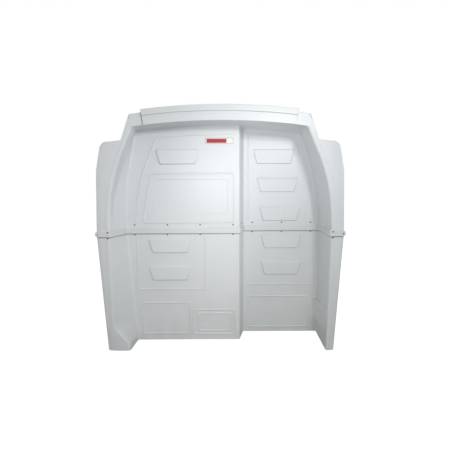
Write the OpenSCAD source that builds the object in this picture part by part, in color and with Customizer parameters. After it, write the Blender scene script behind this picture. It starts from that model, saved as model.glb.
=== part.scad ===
// Two-piece moulded cab partition for a compact van, seen from the cab side.
// X runs to the right, Y runs from the cab to the load space, Z is up.
// The origin is at the middle of the footprint, on the floor. Units are millimetres.

/* [Overall] */
// Half the width across the wings, at the joint between the two shells
wing_half = 746; // [730:1:750]
// Half the width across the two feet, at the floor
foot_half = 700; // [690:1:730]
// Height of the joint between the lower and the upper shell
joint_z = 728; // [720:1:736]

/* [Recesses] */
// Depth of the shallow recess on the passenger side
left_recess = 165; // [130:1:200]
// Depth of the deep recess on the driver's side
right_recess = 300; // [250:1:340]
// Front edge of the step between the two recesses, to the right of the middle
step_front_x = 122; // [100:1:130]
// Back edge of the same step
step_back_x = 150; // [140:1:160]

/* [Shells] */
// Thickness of the moulded sheet
shell_t = 5; // [4:0.5:6]
// Depth of the lip that is turned back along the outer edges
lip_depth = 30; // [15:1:40]
// Width of the bead around the mouth of the recesses
mouth_bead_w = 14; // [8:1:16]
// Height of the bead around the mouth of the recesses
mouth_bead_h = 5; // [2:0.5:5]
// Width of the floor flange behind the panels
floor_flange_w = 35; // [25:1:45]
// Radius of the holes in the floor flange
floor_hole_r = 4.5; // [3:0.25:6]

/* [Roof arch] */
// Radius of the arched ceiling of the recesses
arch_r = 3790; // [3700:10:3900]
// Height of the ceiling at the middle
ceiling_z = 1394; // [1390:1:1400]

/* [Header trim] */
// Angle from the middle of the trim to each end
trim_angle = 6.77; // [6:0.01:7]
// Height of the lower face of the trim, along the radius
trim_face_h = 53; // [40:1:60]
// Height of the upper ledge of the trim, along the radius
trim_ledge_h = 37; // [30:1:45]
// How far the lower face stands in front of the flange
trim_face_out = 8; // [7:0.5:10]
// How far the ledge stands in front of the flange
trim_ledge_out = 16; // [14:0.5:20]
// Thickness of the trim
trim_t = 4; // [3:0.5:5]

/* [Joint band] */
// Height of the band that covers the joint
band_h = 36; // [30:1:40]
// Thickness of the band
band_t = 7; // [6:0.5:8]
// How far each end of the band stands past the edge of the shells
band_end_out = 4; // [0:0.5:6]
// Distance of each pillar hole from the middle
pillar_x = 738; // [734:1:739]
// Radius of the pillar holes
pillar_hole_r = 5.25; // [4:0.25:5.5]

/* [Screws] */
// Height of the upper row above the joint
upper_row_dz = 40; // [32:1:44]
// Depth of the lower row below the joint
lower_row_dz = 23; // [22:1:30]
// Radius of the screw heads
head_r = 5; // [4:0.25:5.5]
// Radius of the screw shanks
shank_r = 2.5; // [2:0.25:2.5]

/* [Pads and outlines] */
// Width of a pad along its top
pad_top_w = 282; // [240:1:300]
// Width of a pad along its bottom
pad_bottom_w = 230; // [200:1:240]
// Height of a pad
pad_h = 98; // [80:1:110]
// How far the pads stand out of the panels
pad_out = 11; // [4:0.5:12]
// Width of the beads that outline fields on the panels
bead_w = 10; // [6:1:12]
// How far those beads stand out
bead_out = 5; // [1:0.5:6]

/* [Label plate] */
// Width of the blank plate
label_w = 181; // [150:1:190]
// Height of the blank plate
label_h = 45; // [30:1:48]

/* [Hidden] */

$fn = 32;
plastic = [0.86, 0.88, 0.89];
trim_plastic = [0.89, 0.91, 0.92];
steel = [0.62, 0.64, 0.66];
rubber = [0.16, 0.16, 0.17];

// The flange plane is set so that the origin is midway between front and back
flange_y = -(right_recess + shell_t + floor_flange_w - trim_ledge_out) / 2;
arch_z = ceiling_z - arch_r;
shell_gap = 1;
splice_t = 3;
clear_r = shank_r + 0.25;
splice_low = joint_z - 34;
splice_h = 90;
band_low = joint_z - 16;
step_angle = atan((step_back_x - step_front_x) / (right_recess - left_recess));
step_t = shell_t / cos(step_angle);

// Half width of the mouth of the recesses at the flange: [height, half width]
mouth_edge = [
    [0, 648], [145, 652], [354, 657], [712, 661], [765, 662], [870, 657], [950, 648],
    [1030, 634], [1110, 612], [1190, 583], [1260, 551], [1330, 521], [1360, 510]
];
// The same with the toe of the passenger side's foot: [height, half width]
toe_edge = [[0, 562], [47, 566], [145, 652], [354, 657], [712, 661], [765, 662]];
// Distance from the middle to the back edge of each side wall: [height, distance]
left_back_edge = [[0, 551], [712, 607], [1028, 597], [1190, 567], [1360, 534]];
right_back_edge = [
    [0, 661], [380, 669], [570, 671], [760, 667], [850, 658], [950, 645],
    [1050, 625], [1155, 600], [1260, 568], [1360, 527]
];
// Half width of the mouth at the joint
mouth_x = lookup(joint_z, mouth_edge);
// Depth of the straight part of the left wall, before it slants: [height, depth]
left_knee = [
    [0, 8], [712, 8], [767, 10], [800, 22], [921, 60], [1028, 98], [1136, 108], [1360, 95]
];
// The right wall has no knee
no_knee = [[0, 20]];
// Heights at which the walls are shaped
lower_levels = [0, 47, 145, 250, 354, 570, 712];
upper_levels = [765, 800, 850, 905, 950, 1000, 1050, 1110, 1155, 1190, 1225, 1260, 1295, 1330];
wall_top = 1360;

// Outer edge of the upper flange on the right, from the roof corner down: [x, z, corner radius]
roof_corner = [527, 1432];
wing_edge = [
    [roof_corner[0], roof_corner[1], 10], [580, 1285, 8], [704, 1271, 42],
    [735, 1105, 500], [wing_half, joint_z + shell_gap / 2, 0]
];

// Screws of the two rows: [x, recess depth]
left_screw_x = [-553, -343, -132, 80];
right_screw_x = [213, 412, 609];
wing_screw_x = 674;
band_screw_z = joint_z + 12;

// Pads: [x, z] of each pad's middle, on the left and on the right panel
upper_left_pads = [[-270, 1199]];
lower_left_pads = [[-328, 632], [-330, 451]];
upper_right_pads = [[354, 1207], [380, 1019], [398, 826]];
lower_right_pads = [[408, 638], [410, 454]];

// ---- Geometry helpers ----

// Unit normal to the right of the line from a to b
function side(a, b) = let (d = b - a) [d[1], -d[0]] / norm(d);

// Point of a path moved sideways by d, with mitred corners
function moved(p, i, d) =
    let (n = len(p) - 1)
    let (s1 = side(p[max(i - 1, 0)], p[max(i, 1)]))
    let (s2 = side(p[min(i, n - 1)], p[min(i + 1, n)]))
    p[i] + d * (s1 + s2) / (1 + s1 * s2);

// The whole path moved sideways, and the closed strip between the two
function beside(p, d) = [for (i = [0 : len(p) - 1]) moved(p, i, d)];
function backwards(p) = [for (i = [len(p) - 1 : -1 : 0]) p[i]];
function strip(p, d) = concat(p, backwards(beside(p, d)));

// The same with both ends cut level
function level_strip(p, d) =
    let (n = len(p) - 1)
    concat(
        p,
        [p[n] + [d / side(p[n - 1], p[n])[0], 0]],
        [for (i = [n - 1 : -1 : 1]) moved(p, i, d)],
        [p[0] + [d / side(p[0], p[1])[0], 0]]
    );
function mirrored(p) = [for (q = backwards(p)) [-q[0], q[1]]];

// Corner b between a and c as an arc of radius r
function corner(a, b, c, r, n = 6) =
    let (u = (a - b) / norm(a - b))
    let (v = (c - b) / norm(c - b))
    let (half = acos(u * v) / 2)
    let (mid = b + (u + v) / norm(u + v) * r / sin(half))
    let (p = b + u * r / tan(half) - mid)
    let (q = b + v * r / tan(half) - mid)
    [for (i = [0 : n]) mid + r * unit(p * (n - i) + q * i)];
function unit(v) = v / norm(v);

// Points [x, z, radius] joined into a path; the ends are left square
function eased(p) = [
    for (i = [0 : len(p) - 1])
        let (here = [p[i][0], p[i][1]])
        let (before = p[max(i - 1, 0)])
        let (after = p[min(i + 1, len(p) - 1)])
        let (inside = i > 0 && i < len(p) - 1 && p[i][2] > 0)
        each inside ? corner([before[0], before[1]], here, [after[0], after[1]], p[i][2]) : [here]
];

// Closed shape with every corner at the radius r
function eased_closed(p, r) = [
    for (i = [0 : len(p) - 1])
        each corner(p[(i + len(p) - 1) % len(p)], p[i], p[(i + 1) % len(p)], r)
];

// Arc about the middle of the roof arch, from x1 to x2
function arch(r, x1, x2, n = 16) = [
    for (i = [0 : n])
        let (x = x1 + (x2 - x1) * i / n)
        [x, arch_z + sqrt(r * r - x * x)]
];

// Edge given as a table of [height, half width], read at a list of heights
function edge(table, levels, out = 0) = [for (z = levels) [lookup(z, table) + out, z]];

// Flat shape drawn in X and Z, its front at depth y behind the flange plane
module upright(y, t) {
    translate([0, flange_y + y + t, 0])
        rotate([90, 0, 0])
            linear_extrude(t)
                children();
}

// Solid through a stack of rings, each with the same number of points
module loft(rings) {
    n = len(rings[0]);
    last = (len(rings) - 1) * n;
    polyhedron(
        points = [for (r = rings) each r],
        faces = concat(
            [[for (i = [0 : n - 1]) i]],
            [for (k = [0 : len(rings) - 2], i = [0 : n - 1])
                let (a = k * n + i)
                let (b = k * n + (i + 1) % n)
                each [[a, a + n, b + n], [a, b + n, b]]],
            [[for (i = [n - 1 : -1 : 0]) last + i]]
        )
    );
}

// Side wall on the right: from the mouth straight back to the knee, then to the back edge
module side_wall(levels, front, knee, back, depth) {
    translate([0, flange_y, 0])
        loft([
            for (z = levels)
                let (x = lookup(z, front))
                let (y = lookup(z, knee))
                let (b = lookup(z, back))
                [
                    [x, 0, z], [x + shell_t, 0, z], [x + shell_t, y, z],
                    [b + shell_t, depth + shell_t, z], [b, depth, z], [x, y, z]
                ]
        ]);
}

// Hole through the sheets in the direction of Y
module hole(x, z, r, y1, y2) {
    translate([x, flange_y + y1, z])
        rotate([-90, 0, 0])
            cylinder(r = r, h = y2 - y1);
}

// Pad with slanted sides and rounded corners
module pad(at) {
    translate(at)
        polygon(eased_closed([
            [-pad_bottom_w / 2, -pad_h / 2], [pad_bottom_w / 2, -pad_h / 2],
            [pad_top_w / 2, pad_h / 2], [-pad_top_w / 2, pad_h / 2]
        ], 9));
}

module left_pads(at) {
    upright(left_recess - pad_out, pad_out + 1)
        for (p = at) pad(p);
}

module right_pads(at) {
    upright(right_recess - pad_out, pad_out + 1)
        for (p = at) pad(p);
}

// Raised outline of a four-sided field, given from its lower left corner round to the right
module outline(p, r = 16) {
    mid = (p[0] + p[1] + p[2] + p[3]) / 4;
    inner = [for (q = p) q - [sign(q[0] - mid[0]), sign(q[1] - mid[1])] * bead_w];
    difference() {
        polygon(eased_closed(p, r));
        polygon(eased_closed(inner, r - bead_w / 2));
    }
}

// Straight screw with a low round head, its tip towards +Y; x, z and the depth of its seat
module screw(x, z, y, l) {
    translate([x, flange_y + y, z])
        rotate([-90, 0, 0])
            screw_shape(l);
}

module screw_shape(l) {
    translate([0, 0, -3])
        cylinder(r1 = head_r - 1.2, r2 = head_r, h = 1.2);
    translate([0, 0, -1.8])
        cylinder(r = head_r, h = 1.8);
    cylinder(r = shank_r, h = l);
}

// Hexagonal nut whose face is at the depth y
module nut(x, z, y) {
    translate([x, flange_y + y, z])
        rotate([-90, 0, 0])
            nut_shape();
}

module nut_shape() {
    difference() {
        cylinder(r = 4.6, h = 4, $fn = 6);
        translate([0, 0, -1])
            cylinder(r = shank_r + 0.05, h = 6);
    }
}

// Wall of the step between the recesses, from one height to another
module step_wall(z1, z2) {
    translate([0, flange_y, z1])
        linear_extrude(z2 - z1)
            polygon([
                [step_front_x, left_recess], [step_back_x, right_recess],
                [step_back_x, right_recess + shell_t], [step_back_x - step_t, right_recess + shell_t],
                [step_back_x - step_t, right_recess], [step_front_x - step_t, left_recess]
            ]);
}

// Turns its children so that they lie on the face of the step, at the height z
module on_step(z) {
    translate([(step_front_x + step_back_x) / 2, flange_y + (left_recess + right_recess) / 2, z])
        rotate([0, 0, -step_angle])
            rotate([0, -90, 0])
                children();
}

// Flat band between two radii of the roof arch, with radial ends
module arch_band(r1, r2, angle) {
    polygon(concat(
        arch(r2, -r2 * sin(angle), r2 * sin(angle)),
        arch(r1, r1 * sin(angle), -r1 * sin(angle))
    ));
}

// ---- Shells ----

// Half width of the opening in the upper flange at its top
wall_top_x = lookup(wall_top, mouth_edge) + 2;

// Flange around the upper half of the recesses, with its two wings
module upper_flange() {
    right_edge = eased(wing_edge);
    mouth = edge(mouth_edge, concat([joint_z - 1], upper_levels, [wall_top]), 2);
    top_x = roof_corner[0] - 12;
    top_r = norm(roof_corner - [0, arch_z]);
    difference() {
        polygon(concat(arch(top_r, -top_x, top_x), right_edge, mirrored(right_edge)));
        polygon(concat(mouth, arch(arch_r + 2, wall_top_x, -wall_top_x), mirrored(mouth)));
    }
}

// Holes of one row of screws, through both panels
module panel_holes(z) {
    for (x = left_screw_x) hole(x, z, clear_r, left_recess - 1, left_recess + shell_t + 1);
    for (x = right_screw_x) hole(x, z, clear_r, right_recess - 1, right_recess + shell_t + 1);
}

module upper_holes() {
    panel_holes(joint_z + upper_row_dz);
    for (s = [-1, 1]) hole(s * wing_screw_x, band_screw_z, clear_r, -9, 9);
    for (s = [-1, 1]) hole(s * pillar_x, joint_z, pillar_hole_r + 0.75, -1, 9);
    for (a = header_angles) along_header(a, clear_r, -1, 9);
    on_step(joint_z + upper_row_dz)
        translate([0, 0, -9])
            cylinder(r = clear_r, h = 18);
}

// Gap in the lip beside each pillar hole
module lip_relief() {
    for (s = [-1, 1])
        translate([s * wing_half - 12, flange_y + shell_t, joint_z - 26])
            cube([24, lip_depth + 1, 52]);
}

module upper_shell() {
    panel_top = arch_r + 2;
    low = joint_z + shell_gap / 2;
    levels = concat([low], upper_levels, [wall_top]);
    left_edge = [for (p = edge(left_back_edge, concat([low], upper_levels), 2)) [-p[0], p[1]]];
    right_edge = edge(right_back_edge, concat([low], upper_levels), 2);
    left_top_x = -lookup(wall_top, left_back_edge) - 2;
    right_top_x = lookup(wall_top, right_back_edge) + 2;
    color(plastic)
    difference() {
        union() {
            upright(0, shell_t) upper_flange();
            upright(0, lip_depth) {
                polygon(level_strip(eased(wing_edge), shell_t));
                polygon(level_strip(mirrored(eased(wing_edge)), shell_t));
            }
            upright(-mouth_bead_h, mouth_bead_h + 1) {
                polygon(level_strip(edge(mouth_edge, levels, 0.5), mouth_bead_w));
                mirror([1, 0]) polygon(level_strip(edge(mouth_edge, levels, 0.5), mouth_bead_w));
            }
            side_wall(levels, mouth_edge, no_knee, right_back_edge, right_recess);
            mirror([1, 0, 0])
                side_wall(levels, mouth_edge, left_knee, left_back_edge, left_recess);
            upright(left_recess, shell_t)
                polygon(concat(left_edge, arch(panel_top, left_top_x, step_front_x - 2),
                    [[step_front_x - 2, low]]));
            upright(right_recess, shell_t)
                polygon(concat([[step_back_x - 2, low]], arch(panel_top, step_back_x - 2, right_top_x),
                    backwards(right_edge)));
            step_wall(low, ceiling_z - 1);
            ceiling();
            left_pads(upper_left_pads);
            right_pads(upper_right_pads);
            upper_outlines();
        }
        upper_holes();
        lip_relief();
    }
}

// Arched ceiling over both recesses
module ceiling() {
    left_x = lookup(wall_top, left_back_edge) + shell_t;
    right_x = lookup(wall_top, right_back_edge) + shell_t;
    front_x = wall_top_x + shell_t - 2;
    intersection() {
        upright(0, right_recess + shell_t)
            polygon(concat(arch(arch_r + shell_t, -left_x, left_x), arch(arch_r, left_x, -left_x)));
        translate([0, flange_y, ceiling_z - 100])
            linear_extrude(200)
                polygon([
                    [-front_x, 0], [front_x, 0], [right_x, right_recess + shell_t],
                    [step_back_x - shell_t, right_recess + shell_t],
                    [step_front_x - shell_t, left_recess + shell_t], [-left_x, left_recess + shell_t]
                ]);
    }
}

// Beads on the panels of the upper shell
module upper_outlines() {
    field_r = arch_r - 52;
    field_left = concat(
        backwards(arch(field_r, -385, 90)), [[-405, 1306]],
        eased([[-412, 1288, 0], [-493, 1095, 300], [-530, 920, 300], [-542, 780, 0]])
    );
    upright(left_recess - bead_out, bead_out + 1) {
        polygon(strip(field_left, bead_w));
        outline([[-504, 778], [90, 778], [90, 1100], [-444, 1100]], 24);
        outline([[-456, 834], [50, 834], [50, 1061], [-412, 1061]], 8);
    }
    field_right = concat(
        [[177, 780], [177, 1340]],
        arch(arch_r - 29, 195, 440), [[472, 1330]],
        eased([[494, 1309, 0], [552, 1165, 400], [618, 905, 400], [637, 782, 0]])
    );
    upright(right_recess - bead_out, bead_out + 1)
        polygon(strip(field_right, bead_w));
}

module lower_holes() {
    panel_holes(joint_z - lower_row_dz);
    for (s = [-1, 1]) hole(s * wing_screw_x, joint_z - lower_row_dz, clear_r, -9, 9);
    for (s = [-1, 1]) hole(s * pillar_x, joint_z, pillar_hole_r + 0.75, -1, 9);
    for (p = floor_holes)
        translate([p[0], flange_y + p[1], -1])
            cylinder(r = floor_hole_r, h = shell_t + 2);
}
floor_holes = [
    for (x = [-430, 0]) [x, left_recess + shell_t + floor_flange_w * 0.5],
    for (x = [260, 560]) [x, right_recess + shell_t + floor_flange_w * 0.5]
];

module lower_shell() {
    high = joint_z - shell_gap / 2;
    levels = concat(lower_levels, [high]);
    outer = [[wing_half, high], [foot_half, 0]];
    right_mouth = edge(mouth_edge, levels, 2);
    left_mouth = edge(toe_edge, levels, 2);
    left_edge = [for (p = edge(left_back_edge, levels, 2)) [-p[0], p[1]]];
    right_edge = edge(right_back_edge, levels, 2);
    color(plastic)
    difference() {
        union() {
            upright(0, shell_t) {
                polygon(concat(right_mouth, outer));
                mirror([1, 0]) polygon(concat(left_mouth, outer));
            }
            upright(0, lip_depth) {
                polygon(level_strip(outer, shell_t));
                mirror([1, 0]) polygon(level_strip(outer, shell_t));
            }
            upright(-mouth_bead_h, mouth_bead_h + 1) {
                polygon(level_strip(edge(mouth_edge, levels, 0.5), mouth_bead_w));
                mirror([1, 0])
                    polygon(level_strip(edge(mouth_edge, [145, 250, 354, 712, high], 0.5), mouth_bead_w));
            }
            side_wall(levels, mouth_edge, no_knee, right_back_edge, right_recess);
            mirror([1, 0, 0])
                side_wall(levels, toe_edge, left_knee, left_back_edge, left_recess);
            upright(left_recess, shell_t)
                polygon(concat(left_edge, [[step_front_x - 2, high], [step_front_x - 2, 0]]));
            upright(right_recess, shell_t)
                polygon(concat([[step_back_x - 2, 0], [step_back_x - 2, high]], backwards(right_edge)));
            step_wall(0, high);
            floor_flanges();
            left_pads(lower_left_pads);
            right_pads(lower_right_pads);
            lower_outlines();
            wheel_bulge();
        }
        lower_holes();
        lip_relief();
    }
}

// Flanges turned back along the floor, behind each panel
module floor_flanges() {
    translate([-540, flange_y + left_recess + 2, 0])
        cube([640, floor_flange_w + shell_t - 2, shell_t]);
    translate([step_back_x + 10, flange_y + right_recess + 2, 0])
        cube([480, floor_flange_w + shell_t - 2, shell_t]);
}

// Beads on the panels of the lower shell
module lower_outlines() {
    upright(left_recess - bead_out, bead_out + 1) {
        polygon(strip(eased([[-543, 696, 0], [-543, 340, 14], [-97, 340, 14], [-97, 696, 0]]), -bead_w));
        outline([[-523, 39], [-199, 39], [-199, 258], [-523, 258]]);
        outline([[-187, 35], [95, 35], [95, 210], [-187, 210]]);
        outline([[-154, 58], [72, 58], [72, 184], [-154, 184]], 8);
    }
    upright(right_recess - bead_out, bead_out + 1) {
        translate([183, 334]) square([445, bead_w]);
        outline([[179, 30], [604, 30], [604, 258], [179, 258]]);
    }
}

// Bulge low on the right wall, widest at the back panel
module wheel_bulge() {
    hull() {
        translate([0, flange_y, 122])
            linear_extrude(114)
                polygon([[657, 60], [667, right_recess + 2], [640, right_recess + 2]]);
        translate([0, flange_y, 76])
            linear_extrude(1)
                polygon([[657, 60], [667, right_recess + 2], [664, right_recess + 2]]);
    }
}

// ---- Header trim ----

header_angles = [-6, -3, 0, 3, 6];
header_r = arch_r + 36;

// Cylinder along Y at an angle on the roof arch, at the middle of the fascia
module along_header(a, r, y1, y2) {
    hole(header_r * sin(a), arch_z + header_r * cos(a), r, y1, y2);
}

// Stretch of the trim between two radii, from one depth to another
module trim_block(r1, r2, y1, y2, angle) {
    upright(y1, y2 - y1) arch_band(arch_r + r1, arch_r + r2, angle);
}

module header_trim() {
    boss_r = 7;
    back_lip = 24;
    inner_angle = trim_angle - 0.06;
    trim_h = trim_face_h + trim_ledge_h;
    color(trim_plastic)
    difference() {
        union() {
            difference() {
                union() {
                    trim_block(0, trim_h, -trim_face_out, 0, trim_angle);
                    trim_block(trim_face_h, trim_h, -trim_ledge_out, 0, trim_angle);
                    trim_block(trim_h - trim_t, trim_h, -trim_ledge_out, back_lip, trim_angle);
                }
                trim_block(trim_t, trim_h - trim_t, trim_t - trim_face_out, 1, inner_angle);
                trim_block(trim_face_h + trim_t, trim_h - trim_t, trim_t - trim_ledge_out, 1, inner_angle);
            }
            for (a = header_angles) along_header(a, boss_r, 1 - trim_face_out, 0);
        }
        for (a = header_angles) along_header(a, shank_r, 2 - trim_face_out, 1);
    }
}

// Screws from the load side, through the fascia into the bosses of the trim
module header_screws() {
    color(steel)
        for (a = header_angles)
            translate([header_r * sin(a), flange_y + shell_t, arch_z + header_r * cos(a)])
                rotate([90, 0, 0])
                    screw_shape(shell_t + trim_face_out - 3);
}

// ---- Joint band ----

wing_tip = wing_half + band_end_out;
band_path = [
    [-wing_tip, 0], [-mouth_x, 0],
    [-lookup(joint_z, left_back_edge), left_recess],
    [step_front_x, left_recess], [step_back_x, right_recess],
    [lookup(joint_z, right_back_edge), right_recess],
    [mouth_x, 0], [wing_tip, 0]
];
// Stretch of the band between two points of its path
module band(a, b) {
    front = beside(band_path, band_t);
    translate([0, flange_y, band_low])
        linear_extrude(band_h)
            polygon(concat([for (i = [a : b]) band_path[i]], [for (i = [b : -1 : a]) front[i]]));
}

module band_holes() {
    for (s = [-1, 1]) hole(s * pillar_x, joint_z, pillar_hole_r, -band_t - mouth_bead_h - 1, 1);
    for (s = [-1, 1]) hole(s * wing_screw_x, band_screw_z, clear_r, -band_t - mouth_bead_h - 1, 1);
}

module joint_band_left() {
    color(trim_plastic)
    difference() {
        band(0, 3);
        bead_channel();
        band_holes();
    }
}

module joint_band_right() {
    color(trim_plastic)
    difference() {
        band(3, 7);
        bead_channel();
        band_holes();
    }
}

// Room in the back of the band for the beads around the mouth
module bead_channel() {
    for (s = [0, 1])
        mirror([s, 0, 0])
            translate([mouth_x - 1, flange_y - mouth_bead_h, band_low - 1])
                cube([mouth_bead_w + 1.5, mouth_bead_h + 0.01, band_h + 2]);
}

module band_screws() {
    color(steel)
        for (s = [-1, 1]) screw(s * wing_screw_x, band_screw_z, -band_t, band_t + shell_t + splice_t + 6);
}

module band_nuts() {
    color(steel)
        for (s = [-1, 1]) nut(s * wing_screw_x, band_screw_z, shell_t + splice_t);
}

// ---- Splices behind the joint ----

module splice_bar(x1, x2, y, screws) {
    color(steel)
    difference() {
        translate([x1, flange_y + y, splice_low])
            cube([x2 - x1, splice_t, splice_h]);
        for (x = screws) {
            hole(x, joint_z + upper_row_dz, clear_r, y - 1, y + splice_t + 1);
            hole(x, joint_z - lower_row_dz, clear_r, y - 1, y + splice_t + 1);
        }
    }
}

module splice_bar_left() {
    splice_bar(-596, 105, left_recess + shell_t, left_screw_x);
}

module splice_bar_right() {
    splice_bar(160, 650, right_recess + shell_t, right_screw_x);
}

module splice_plate_step() {
    color(steel)
    difference() {
        on_step(joint_z)
            translate([-34, -30, shell_t])
                cube([splice_h, 60, splice_t]);
        on_step(joint_z + upper_row_dz)
            cylinder(r = clear_r, h = 20);
    }
}

// Plate behind a wing, with the pillar hole
module wing_plate() {
    low_x = mouth_x + shell_t + 2;
    color(steel)
    difference() {
        translate([low_x, flange_y + shell_t, splice_low])
            cube([wing_half - 2 - low_x, splice_t, splice_h]);
        hole(pillar_x, joint_z, pillar_hole_r, shell_t - 1, shell_t + splice_t + 1);
        for (z = [band_screw_z, joint_z - lower_row_dz])
            hole(wing_screw_x, z, clear_r, shell_t - 1, shell_t + splice_t + 1);
    }
}

module splice_plate_right_wing() {
    wing_plate();
}

module splice_plate_left_wing() {
    mirror([1, 0, 0]) wing_plate();
}

// ---- Screws and nuts of the joint ----

screw_l = shell_t + splice_t + 6;
nut_y = shell_t + splice_t;

module panel_row(z) {
    for (x = left_screw_x) screw(x, z, left_recess, screw_l);
    for (x = right_screw_x) screw(x, z, right_recess, screw_l);
}

module panel_nuts(z) {
    for (x = left_screw_x) nut(x, z, left_recess + nut_y);
    for (x = right_screw_x) nut(x, z, right_recess + nut_y);
}

module upper_row_screws() {
    color(steel) panel_row(joint_z + upper_row_dz);
}

module upper_row_nuts() {
    color(steel) panel_nuts(joint_z + upper_row_dz);
}

module lower_row_screws() {
    z = joint_z - lower_row_dz;
    color(steel) {
        panel_row(z);
        for (s = [-1, 1]) screw(s * wing_screw_x, z, -mouth_bead_h, mouth_bead_h + screw_l);
    }
}

module lower_row_nuts() {
    z = joint_z - lower_row_dz;
    color(steel) {
        panel_nuts(z);
        for (s = [-1, 1]) nut(s * wing_screw_x, z, nut_y);
    }
}

module step_screw() {
    color(steel)
        on_step(joint_z + upper_row_dz)
            screw_shape(screw_l);
}

module step_nut() {
    color(steel)
        on_step(joint_z + upper_row_dz)
            translate([0, 0, nut_y])
                nut_shape();
}

// ---- Label plate and seals ----

module label_plate() {
    color("white")
        upright(left_recess - 1.5, 1.5)
            translate([-4.5, 1296.5])
                polygon(eased_closed([
                    [-label_w / 2, -label_h / 2], [label_w / 2, -label_h / 2],
                    [label_w / 2, label_h / 2], [-label_w / 2, label_h / 2]
                ], 4));
}

// Foam seals on the back of the flanges
seal_t = 10;
seal_w = 14;

module roof_seal() {
    color(rubber)
        upright(shell_t, seal_t)
            arch_band(arch_r + 50, arch_r + 50 + seal_w, 7.3);
}

module wing_seal() {
    path = eased([[600, 1236, 0], [640, 1230, 24], [676, 1105, 400], [692, 800, 0]]);
    color(rubber)
        upright(shell_t, seal_t)
            polygon(strip(path, seal_w));
}

module foot_seal() {
    color(rubber)
        upright(shell_t, seal_t)
            polygon(strip([[wing_half - 56, 684], [foot_half - 24, 12]], seal_w));
}

module upper_right_seal() {
    wing_seal();
}

module upper_left_seal() {
    mirror([1, 0, 0]) wing_seal();
}

module lower_right_seal() {
    foot_seal();
}

module lower_left_seal() {
    mirror([1, 0, 0]) foot_seal();
}

upper_shell();
lower_shell();
header_trim();
header_screws();
joint_band_left();
joint_band_right();
band_screws();
splice_bar_left();
splice_bar_right();
splice_plate_step();
splice_plate_left_wing();
splice_plate_right_wing();
upper_row_screws();
lower_row_screws();
step_screw();
upper_row_nuts();
lower_row_nuts();
band_nuts();
step_nut();
label_plate();
roof_seal();
upper_left_seal();
upper_right_seal();
lower_left_seal();
lower_right_seal();
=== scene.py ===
import math

import bpy
from mathutils import Matrix, Vector
from mathutils.kdtree import KDTree


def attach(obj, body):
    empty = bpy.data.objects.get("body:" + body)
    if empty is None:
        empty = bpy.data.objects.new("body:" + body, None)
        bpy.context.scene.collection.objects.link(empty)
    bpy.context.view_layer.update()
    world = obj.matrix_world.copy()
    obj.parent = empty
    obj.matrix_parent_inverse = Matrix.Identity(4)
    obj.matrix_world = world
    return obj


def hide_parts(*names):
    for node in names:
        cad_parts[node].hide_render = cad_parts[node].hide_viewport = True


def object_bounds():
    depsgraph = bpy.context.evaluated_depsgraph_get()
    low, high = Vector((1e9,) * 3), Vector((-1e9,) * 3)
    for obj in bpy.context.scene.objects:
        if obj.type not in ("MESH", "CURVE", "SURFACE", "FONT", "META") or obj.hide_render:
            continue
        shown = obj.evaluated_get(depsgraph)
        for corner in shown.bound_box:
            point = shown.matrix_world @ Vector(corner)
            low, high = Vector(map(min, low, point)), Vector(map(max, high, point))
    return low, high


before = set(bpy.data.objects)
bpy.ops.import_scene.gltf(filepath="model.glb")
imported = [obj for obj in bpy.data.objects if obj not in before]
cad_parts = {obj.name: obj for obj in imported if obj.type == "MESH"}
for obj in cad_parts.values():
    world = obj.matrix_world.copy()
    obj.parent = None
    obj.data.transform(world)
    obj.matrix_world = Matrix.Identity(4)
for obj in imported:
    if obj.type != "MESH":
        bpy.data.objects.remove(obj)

cad_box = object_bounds()
bpy.ops.object.select_all(action="DESELECT")

# ---- Moulded sheet ----
# Both shells are vacuum formed from one sheet of white plastic over a mould of the whole cab
# opening: two recesses with a step between them, a convex wing on each side and a fascia under
# the roof. The sheet is laid here in one piece, then sawn in two at the joint.
mm = 0.001
flange_y = cad_box[0][1] + 16 * mm      # front face of the flanges, behind the header trim's ledge
joint_z = 728 * mm
sheet_t = 5 * mm
left_recess, right_recess = 165 * mm, 300 * mm
step_front_x, step_back_x = 122 * mm, 150 * mm
arch_r = 3790 * mm
arch_z = 1394 * mm - arch_r
wall_top = 1360 * mm
roof_corner = (527 * mm, 1432 * mm)
roof_r = math.hypot(roof_corner[0], roof_corner[1] - arch_z)
lip_y = flange_y + 30 * mm              # back edge of the lip

# Millimetres of height, and of distance from the middle, down the edges of the recesses
mouth_edge = [
    (0, 648), (145, 652), (354, 657), (712, 661), (765, 662), (870, 657), (950, 648),
    (1030, 634), (1110, 612), (1190, 583), (1260, 551), (1330, 521), (1360, 510),
]
toe_edge = [(0, 562), (47, 566), (145, 652)] + mouth_edge[2:]
left_back_edge = [(0, 551), (712, 607), (1028, 597), (1190, 567), (1360, 534)]
right_back_edge = [
    (0, 661), (380, 669), (570, 671), (760, 667), (850, 658), (950, 645),
    (1050, 625), (1155, 600), (1260, 568), (1360, 527),
]
left_knee = [(0, 8), (767, 10), (800, 22), (921, 60), (1028, 98), (1136, 108), (1360, 95)]
# Upper outer corner of a wing: the points before it, at it and after it, and its radius
wing_corner = [(735, 1105), (704, 1271), (580, 1285)]
wing_corner_r = 42
# Heights of the rows of points that the sheet is laid on
levels = [0, 24, 47, 80, 112, 145, 185, 250, 354, 460, 570, 650, 712, 765, 800, 850, 905, 950, 1000, 1050,
          1110, 1155, 1190, 1225, 1238, 1250, 1262, 1274, 1285, 1308, 1330]
wing_top = 1285
left_columns, right_columns = 12, 9     # points across each panel


def between(a, b, t):
    return a + (b - a) * t


def lookup(table, z):
    """Distance in metres, read from a table in millimetres at a height in millimetres."""
    for (z1, a), (z2, b) in zip(table, table[1:]):
        if z <= z2:
            return between(a, b, max(z - z1, 0) / (z2 - z1)) * mm
    return table[-1][1] * mm


def arch(x, r=arch_r):
    return arch_z + math.sqrt(r * r - x * x)


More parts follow.
